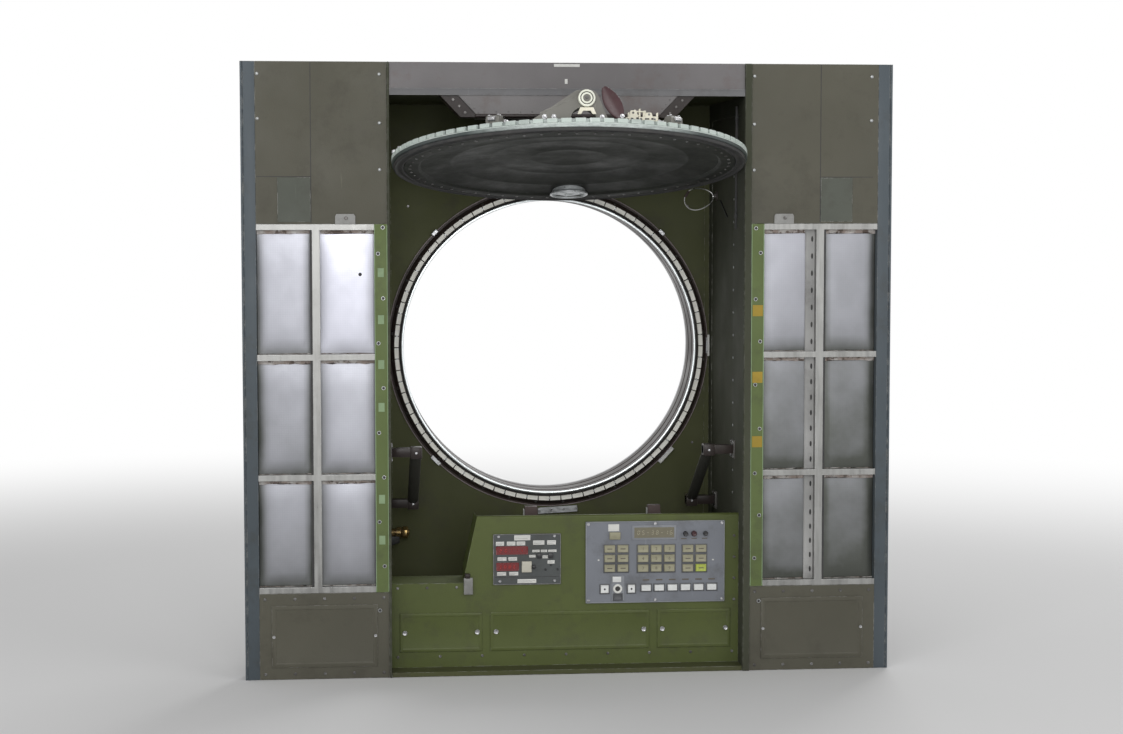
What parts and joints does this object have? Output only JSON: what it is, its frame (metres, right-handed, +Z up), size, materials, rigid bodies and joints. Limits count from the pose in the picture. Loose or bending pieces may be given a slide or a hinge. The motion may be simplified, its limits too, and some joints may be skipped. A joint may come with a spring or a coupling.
{
  "type": "spacecraft hatch bulkhead",
  "caption": "Recessed bulkhead of a crew compartment: round hatchway with a hinged cover swung open, metal bays, handrails and a control console.",
  "frame": {"origin": "on the hatchway's axis, at the rear face of the tunnel flange that bolts to the next compartment", "axes": "+Y along the hatchway's axis, away from the cabin; +X to the right seen from the cabin; +Z up"},
  "size_m": [1.636, 1.1393, 1.541],
  "materials": {
    "bare_metal": "milled aluminium, untreated",
    "bay_silver": "brushed sheet aluminium",
    "cheek_green": "semi-matt grey-green paint",
    "console_green": "satin olive green paint",
    "cover_dark": "matt dark grey-green paint with smudges",
    "frame_brown": "dark brown enamel on the hatch frame",
    "frame_silver": "anodised aluminium",
    "gear_grey": "satin grey paint",
    "hood_grey": "satin grey paint",
    "key_beige": "beige moulded keys",
    "khaki_grey": "semi-matt khaki grey paint",
    "knob_black": "black moulded knobs",
    "lever_maroon": "dark maroon moulded plastic",
    "linkage_cream": "cream enamel on small castings",
    "lip_grey": "machined light metal lip",
    "panel_blue": "light blue-grey instrument paint",
    "panel_dark": "dark grey instrument paint",
    "rail_dark": "dark enamel",
    "rail_green": "grey-green enamel",
    "rim_pale": "pale grey-green enamel, white teeth",
    "seal_black": "black rubber",
    "seat_cream": "cream enamel with dark slots",
    "steel": "ground steel",
    "strip_green": "satin light green paint on perforated strips",
    "switch_white": "white switch caps",
    "valve_pale": "pale anodised aluminium",
    "wall_green": "semi-matt dark olive green paint on the niche's rear wall",
    "wheel_white": "white moulded plastic",
    "window_pale": "pale display window",
    "window_red": "dark red display window"
  },
  "bodies": {
    "bulkhead": {"back_wall": "wall_green", "bay_braces": "bare_metal", "clamp_plates": "bare_metal", "console_body": "console_green", "console_clips": "knob_black", "corner_mouldings": "cheek_green", "display_panel": "panel_dark", "display_windows": "window_red", "frame_seal": "seal_black", "frame_webs": "bare_metal", "hatch_frame": "frame_brown", "hinge_brackets": "gear_grey", "hinge_pins": "steel", "hood": "hood_grey", "hood_end_plates": "rail_dark", "inner_lip": "lip_grey", "keypad_keys": "key_beige", "keypad_knobs": "knob_black", "keypad_panel": "panel_blue", "keypad_switches": "switch_white", "keypad_window": "window_pale", "left_bay_frame": "frame_silver", "left_bay_panels": "bay_silver", "left_cheek": "cheek_green", "left_edge_strip": "strip_green", "left_handrail": "rail_green", "left_lower_panel": "khaki_grey", "left_outer_post": "frame_silver", "left_rail_brackets": "rail_dark", "left_upper_panel": "khaki_grey", "niche_ceiling": "wall_green", "niche_floor": "wall_green", "rear_crossbars": "bare_metal", "rear_flange": "bare_metal", "rear_uprights": "bare_metal", "right_bay_frame": "frame_silver", "right_bay_panels": "bay_silver", "right_cheek": "cheek_green", "right_edge_strip": "strip_green", "right_handrail": "rail_green", "right_lower_panel": "khaki_grey", "right_outer_post": "frame_silver", "right_rail_brackets": "rail_dark", "right_upper_panel": "khaki_grey", "seat_ring": "seat_cream", "top_fascia": "hood_grey"},
    "cover": {"cover_dish": "cover_dark", "cover_rim": "rim_pale", "cover_teeth": "rim_pale", "cover_seal": "seal_black", "cover_ribs": "gear_grey", "drive_hub": "gear_grey", "latch_guides": "gear_grey", "push_rods": "steel", "hinge_arms": "gear_grey", "wheel_bracket": "gear_grey", "crank_wheel": "wheel_white", "lever_handle": "lever_maroon", "equalising_valve": "valve_pale", "linkage": "linkage_cream"}
  },
  "joints": [
    {"name": "cover_hinge", "type": "hinge", "parent": "bulkhead", "child": "cover", "pos_m": [0, -0.232, 0.469], "axis": [1, 0, 0], "range_deg": [0, 100.5]}
  ]
}
